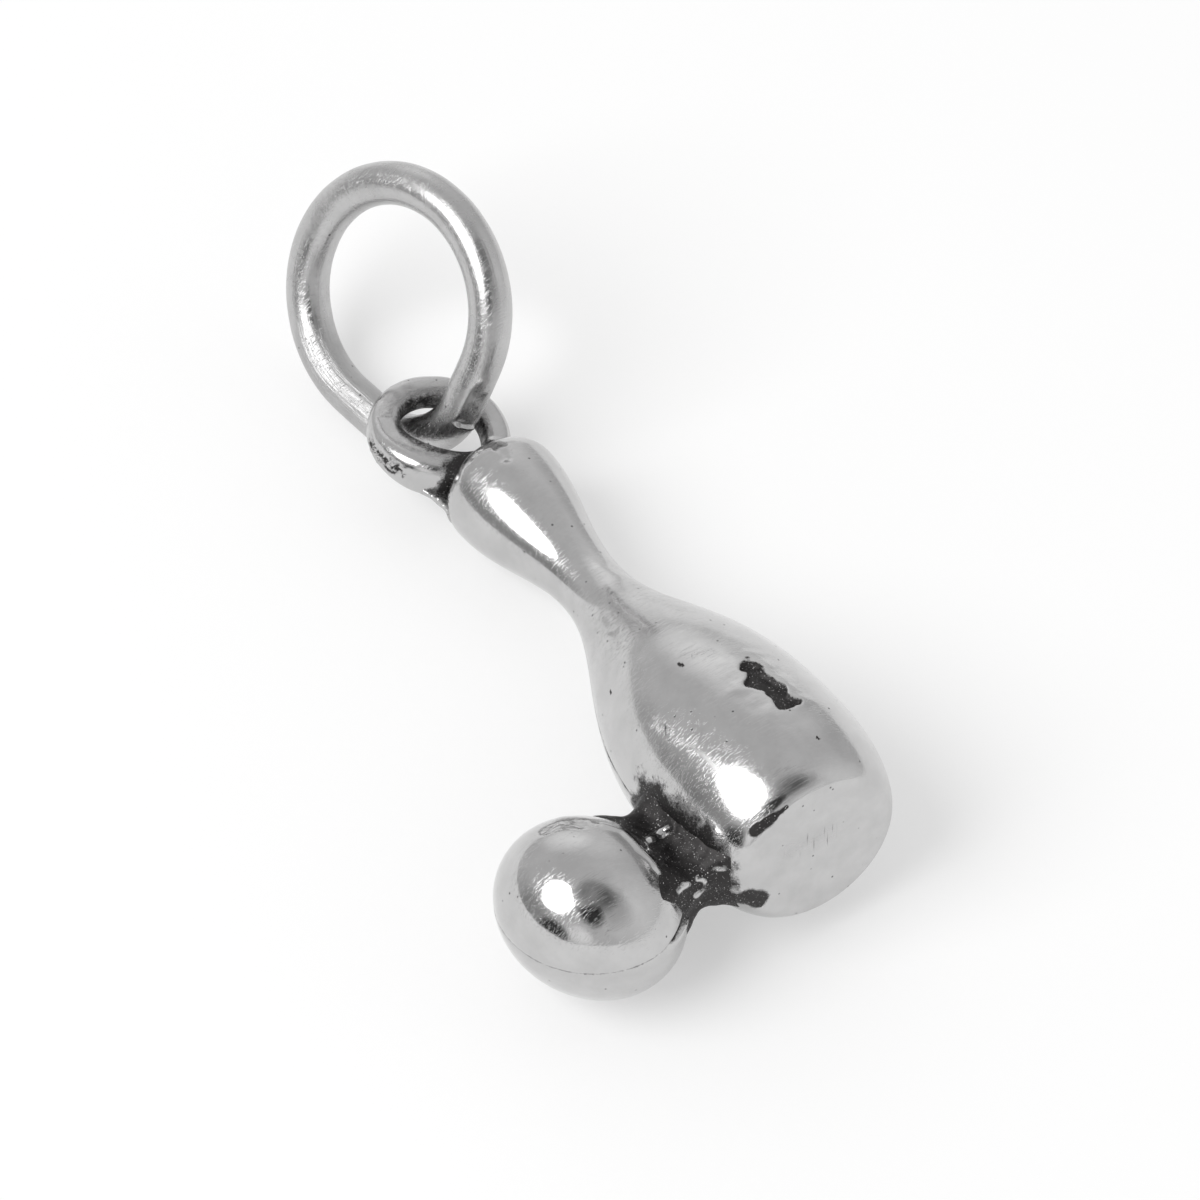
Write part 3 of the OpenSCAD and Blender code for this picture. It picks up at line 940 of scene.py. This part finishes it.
def make_ring():
    """The ring from one side of its slit round to the other, and the solder in the slit"""
    ring = ring_tube("jump_ring_skin", SLIT_PLACE + SLIT_HALF, SLIT_PLACE - SLIT_HALF + RING_LENGTH, 0)
    solder = ring_tube("jump_ring_solder_skin", SLIT_PLACE - SLIT_HALF, SLIT_PLACE + SLIT_HALF, RIDGE_RISE)
    return ring, solder


class Nodes:
    """The nodes of a material or a world, added one by one"""

    def __init__(self, owner):
        owner.use_nodes = True
        self.tree = owner.node_tree
        self.tree.nodes.clear()

    def feed(self, socket, value):
        """Links a socket to another node's output, or sets it"""
        if isinstance(value, bpy.types.NodeSocket):
            self.tree.links.new(value, socket)
        else:
            socket.default_value = value

    def add(self, kind, *values, settings=None, **named):
        """A new node, its inputs given in their order or by their names"""
        node = self.tree.nodes.new(kind)
        for key, value in (settings or {}).items():
            setattr(node, key, value)
        for socket, value in zip(node.inputs, values):
            self.feed(socket, value)
        for key, value in named.items():
            self.feed(node.inputs[key.replace("_", " ")], value)
        return node

    def math(self, operation, *values, clamp=False):
        settings = {"operation": operation, "use_clamp": clamp}
        return self.add("ShaderNodeMath", *values, settings=settings).outputs[0]

    def products(self, *pairs):
        total = None
        for a, b in pairs:
            term = self.math("MULTIPLY", a, b)
            total = term if total is None else self.math("ADD", total, term)
        return total

    def dot(self, vector, way):
        """How far a vector goes along a fixed one"""
        settings = {"operation": "DOT_PRODUCT"}
        return self.add("ShaderNodeVectorMath", vector, way, settings=settings).outputs["Value"]

    def noise(self, vector, scale, detail, rough):
        node = self.add("ShaderNodeTexNoise", Vector=vector, Scale=scale, Detail=detail, Roughness=rough)
        return node.outputs["Fac"]

    def pattern(self, vector, noise, read):
        return self.remap(self.noise(vector, *noise), *read)

    def scaled(self, vector, scale, turn=(0, 0, 0)):
        return self.add("ShaderNodeMapping", Vector=vector, Scale=scale, Rotation=turn).outputs["Vector"]

    def blend(self, factor, a, b):
        """A colour between two others; this node's colour sockets have no names of their own"""
        node = self.add("ShaderNodeMix", settings={"data_type": "RGBA"})
        for index, value in ((0, factor), (6, a), (7, b)):
            self.feed(node.inputs[index], value)
        return node.outputs[2]

    def remap(self, value, low, high, to_low, to_high):
        """A value read from one span to another, and held at the ends"""
        return self.add("ShaderNodeMapRange", value, low, high, to_low, to_high).outputs[0]

    def attribute(self, name, output="Fac"):
        return self.add("ShaderNodeAttribute", settings={"attribute_name": name}).outputs[output]


# Noises: waves in a millimetre, detail and roughness. Most are read at once, from two values to two.
# Those of the scratches lie on a vector that is scaled first.
FINE_NOISE = (22.0, 3.0, 0.6)
FINE_READ = (0.3, 0.7, -0.15, 0.15)
GLOSS_NOISE = (2.0, 4.0, 0.6)
GLOSS_SPAN = (0.3, 0.7)
SOFT_NOISE = (7.0, 2.0, 0.5)
CRUST_NOISE = (45.0, 2.0, 0.5)
RAGGED = ((3.5, 6.0, 0.65), (0.3, 0.7, -0.25, 0.25))
SPECKS = ((30.0, 2.0, 0.5), (0.66, 0.74, 0.0, 0.55))
PATCHES = ((1.3, 4.0, 0.6), (0.35, 0.65, 0.0, 1.0))
SPARKS = ((26.0, 1.0, 0.5), (0.7, 0.74, 0.0, 0.9))
SCRATCHES = ((1.0, 2.0, 0.5), (0.62, 0.7, 0.0, 1.0))
LONG_SCRATCHES = ((1.0, 2.0, 0.5), (0.6, 0.68, 0.0, 0.65))
DRAWN_LINES = ((1.0, 4.0, 0.6), (0.45, 0.7, 0.0, 0.8))
# Other readings: edge of the patina, rubbing from which long scratches show, and pits
DARK_READ = (0.3, 0.75, 0.0, 1.0)
RUBBED_READ = (0.4, 0.8, 0.0, 1.0)
PIT_READ = (0.05, 0.085, 1.0, 0.0)
# Colours: shares of the silver's tone in its duller and brighter patches, then plain colours
DULL_TINT = (0.93, 0.925, 0.925)
BRIGHT_TINT = (1.03, 1.025, 1.025)
# Near black of the patina, also used for the painted dark reflections
PATINA_AND_SHADE_COLOUR = (0.05, 0.048, 0.048, 1)
SPARK_COLOUR = (0.95, 0.94, 0.94, 1)
MARK_COLOUR = (0.05, 0.05, 0.05, 1)
# Three layers of short scratches: turn and waves along a scratch, then the waves the other two ways
SCRATCH_LAYERS = (((0.3, 0.2, 0.5), 1.2), ((1.1, 0.7, 2.0), 2.4), ((0.5, 1.6, 1.2), 3.6))
SCRATCH_ACROSS = 38.0
SCRATCH_THROUGH = 9.0
# The drawn wire's lines: waves along the wire, and round it on both axes
DRAWN_SCALE = (0.35, 7.0, 7.0)
# Long scratches run down the photograph: waves in a millimetre across and along them
LONG_SCRATCH_WAYS = (CAMERA_RIGHT * 13.0, CAMERA_DOWN * 0.9)
PITS_PER_MM = 2.6
PIT_DARKNESS = 0.8
# Shares of the silver's own roughness, and what patina and rubbing add
GLOSSY_SHARE = 0.8
MATT_SHARE = 1.35
PATINA_ROUGHNESS = 0.35
RUBBED_ROUGHNESS = 0.16
# Relief of the bump, and how much rubbing deepens the scratches
BUMP_STRENGTH = 0.35
BUMP_DISTANCE = 0.00001
SCRATCH_RELIEF = -0.3
RUBBED_SCRATCHES = 4.0
FINE_RELIEF = 0.22
SOFT_RELIEF = 0.5
PIT_RELIEF = -1.5
CRUST_RELIEF = 3.0


def silver_material(name, tone=0.56, rough=0.11, grain=1.0, wire=False):
    """Worn polished silver: grey patina in the hollows, painted dark reflections where the patina attribute
    holds them, fine scratches, pits and soft waves
    """
    material = bpy.data.materials.new(name)
    n = Nodes(material)
    place = n.add("ShaderNodeTexCoord").outputs["Object"]
    mm = n.scaled(place, (1 / MM, 1 / MM, 1 / MM))
    patina, rubbed = n.attribute("patina"), n.attribute("rubbed")
    fine = n.noise(mm, *FINE_NOISE)
    edge = n.math("ADD", patina, n.pattern(mm, *RAGGED))
    edge = n.math("ADD", edge, n.remap(fine, *FINE_READ))
    unspecked = n.math("SUBTRACT", 1.0, n.pattern(mm, *SPECKS))
    dark = n.math("MULTIPLY", n.remap(edge, *DARK_READ), unspecked, clamp=True)
    dull_patch = tuple(tone * share for share in DULL_TINT) + (1,)
    bright_patch = tuple(tone * share for share in BRIGHT_TINT) + (1,)
    colour = n.blend(n.pattern(mm, *PATCHES), dull_patch, bright_patch)
    # Patina darkens the silver; on pin and ball the patina attribute also holds painted dark reflections
    colour = n.blend(dark, colour, PATINA_AND_SHADE_COLOUR)
    sparks = n.math("MULTIPLY", n.pattern(mm, *SPARKS), patina, clamp=True)
    colour = n.blend(sparks, colour, SPARK_COLOUR)
    scratches = None
    for turn, waves_along in SCRATCH_LAYERS:
        lines = n.scaled(mm, (waves_along, SCRATCH_ACROSS, SCRATCH_THROUGH), turn)
        layer = n.pattern(lines, *SCRATCHES)
        scratches = layer if scratches is None else n.math("MAXIMUM", scratches, layer)
    if wire:
        lines = n.scaled(n.attribute("flow", "Vector"), DRAWN_SCALE)
        scratches = n.math("MAXIMUM", scratches, n.pattern(lines, *DRAWN_LINES))
    cells = n.add("ShaderNodeTexVoronoi", settings={"feature": "F1"}, Vector=mm, Scale=PITS_PER_MM)
    pit = n.remap(cells.outputs["Distance"], *PIT_READ)
    gloss = n.remap(n.noise(mm, *GLOSS_NOISE), *GLOSS_SPAN, rough * GLOSSY_SHARE, rough * MATT_SHARE)
    roughness = n.math("ADD", gloss, n.math("MULTIPLY", dark, PATINA_ROUGHNESS))
    roughness = n.math("MULTIPLY_ADD", rubbed, RUBBED_ROUGHNESS, roughness)
    scratches = n.math("MULTIPLY", scratches, n.math("MULTIPLY_ADD", rubbed, RUBBED_SCRATCHES, 1.0))
    height = n.products(
        (scratches, SCRATCH_RELIEF * grain),
        (fine, FINE_RELIEF * grain),
        (n.noise(mm, *SOFT_NOISE), SOFT_RELIEF * grain),
        (pit, PIT_RELIEF),
        (n.noise(mm, *CRUST_NOISE), n.math("MULTIPLY", dark, CRUST_RELIEF)),
    )
    bump = n.add("ShaderNodeBump", Strength=BUMP_STRENGTH, Distance=BUMP_DISTANCE, Height=height)
    mark = n.math("MULTIPLY", pit, PIT_DARKNESS)
    if not wire:
        drift = [n.dot(mm, tuple(way)) for way in LONG_SCRATCH_WAYS]
        long_scratches = n.pattern(n.add("ShaderNodeCombineXYZ", *drift).outputs[0], *LONG_SCRATCHES)
        long_scratches = n.math("MULTIPLY", long_scratches, n.remap(rubbed, *RUBBED_READ))
        mark = n.math("MAXIMUM", mark, long_scratches)
    colour = n.blend(mark, colour, MARK_COLOUR)
    shader = n.add("ShaderNodeBsdfPrincipled", Base_Color=colour, Metallic=1.0, Roughness=roughness,
                   Normal=bump.outputs["Normal"])
    n.add("ShaderNodeOutputMaterial", shader.outputs[0])
    return material


# Floor, light and world. Lengths here are in metres.
FLOOR_HALF = 0.6
FLOOR_COLOUR = (0.97, 0.97, 0.97, 1)
# Share of plain white in the floor as it is seen, so that its shadows stay pale
FLOOR_WHITE_SHARE = 0.4


def make_floor():
    """The white table, partly plain white to the camera and in reflections"""
    mesh = bpy.data.meshes.new("floor")
    h = FLOOR_HALF
    mesh.from_pydata([(-h, -h, 0), (h, -h, 0), (h, h, 0), (-h, h, 0)], [], [(0, 1, 2, 3)])
    floor = bpy.data.objects.new("floor", mesh)
    bpy.context.scene.collection.objects.link(floor)
    material = bpy.data.materials.new("floor_white")
    n = Nodes(material)
    lit = n.add("ShaderNodeBsdfDiffuse", Color=FLOOR_COLOUR)
    white = n.add("ShaderNodeEmission", Color=(1, 1, 1, 1), Strength=1.0)
    ray = n.add("ShaderNodeLightPath").outputs
    seen = n.math("MAXIMUM", ray["Is Glossy Ray"], ray["Is Transmission Ray"])
    seen = n.math("MAXIMUM", ray["Is Camera Ray"], seen)
    share = n.math("MULTIPLY", seen, FLOOR_WHITE_SHARE)
    shader = n.add("ShaderNodeMixShader", share, lit.outputs[0], white.outputs[0])
    n.add("ShaderNodeOutputMaterial", shader.outputs[0])
    mesh.materials.append(material)


def sky_direction(azimuth, elevation):
    """A direction from degrees: azimuth from +Y towards +X, and elevation"""
    a, e = np.radians(azimuth), np.radians(elevation)
    return (np.sin(a) * np.cos(e), np.cos(a) * np.cos(e), np.sin(e))


# Patches of the plain grey room: azimuth, elevation, inner and outer radius in degrees, and gain
SKY_LEVEL = 0.66
SKY_PATCHES = (
    (-147, 47, 10, 18, 0.08),
    (180, 68, 8, 24, 0.35),
    (165, 45, 8, 26, 0.66),
    (-102, 2, 12, 20, 0.1),
    (-72, 8, 6, 26, 0.55),
    (-48, 2, 8, 24, 0.8),
    (-130, 14, 6, 16, 1.6),
    (35, 22, 5, 34, 1.25),
    (18, 24, 5, 22, 1.35),
    (72, 8, 10, 24, 0.87),
    (140, 25, 10, 50, 1.3),
    (145, 60, 6, 18, 0.65),
)


def make_world():
    world = bpy.data.worlds.new("studio")
    bpy.context.scene.world = world
    n = Nodes(world)
    way = n.add("ShaderNodeTexCoord").outputs["Generated"]
    level = SKY_LEVEL
    for azimuth, elevation, inner, outer, gain in SKY_PATCHES:
        near = n.dot(way, sky_direction(azimuth, elevation))
        here = n.remap(near, np.cos(np.radians(outer)), np.cos(np.radians(inner)), 0.0, 1.0)
        level = n.math("MULTIPLY", level, n.math("MULTIPLY_ADD", here, gain - 1, 1.0))
    shader = n.add("ShaderNodeBackground", Color=(1, 1, 1, 1), Strength=level)
    n.add("ShaderNodeOutputWorld", shader.outputs[0])


# A round softbox up on the left: brightness of its face, where 1 is white, distance and half angle
LAMP_LEVEL = 4.5
LAMP_DISTANCE = 0.5
LAMP_HALF_ANGLE = np.radians(21)
LAMP_DIRECTION = (-85, 47)


def make_lamp():
    data = bpy.data.lights.new("softbox", "AREA")
    data.shape = "DISK"
    data.size = 2 * LAMP_DISTANCE * np.tan(LAMP_HALF_ANGLE)
    data.energy = LAMP_LEVEL * np.pi * np.pi * (data.size / 2) ** 2
    lamp = bpy.data.objects.new("softbox", data)
    way = Vector(sky_direction(*LAMP_DIRECTION))
    lamp.location = way * LAMP_DISTANCE
    lamp.rotation_euler = way.to_track_quat("Z", "Y").to_euler()
    bpy.context.scene.collection.objects.link(lamp)


def dress(piece, material, body, slot, *nodes):
    piece.data.materials.append(material)
    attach(piece, body)
    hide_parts(*nodes)


make_camera()
make_floor()
make_world()
make_lamp()

polished = silver_material("polished_silver")
bright = silver_material("bright_silver", rough=0.07)
drawn_wire = silver_material("drawn_silver_wire", tone=0.53, rough=0.23, grain=2.6, wire=True)
eye_silver = silver_material("eye_silver", tone=0.54, rough=0.17, grain=1.6)
solder_silver = silver_material("solder_silver", tone=0.5, rough=0.22, grain=2.0)

pin_back, pin_front = make_pin()
ball_front, ball_back = make_ball()
dress(pin_front, polished, "charm", "polished_silver", "pin_front")
dress(pin_back, polished, "charm", "polished_silver", "pin_back")
dress(ball_front, bright, "charm", "polished_silver", "ball_front")
dress(ball_back, bright, "charm", "polished_silver", "ball_back")
dress(make_web(), polished, "charm", "blackened_silver", "web")
dress(make_eye(), eye_silver, "charm", "silver_wire", "eye")
dress(make_solder(), solder_silver, "charm", "solder", "eye_solder")
ring, ring_solder = make_ring()
dress(ring, drawn_wire, "ring", "silver_wire", "jump_ring")
dress(ring_solder, solder_silver, "ring", "solder", "jump_ring_solder")

bpy.context.scene.view_settings.view_transform = "Standard"
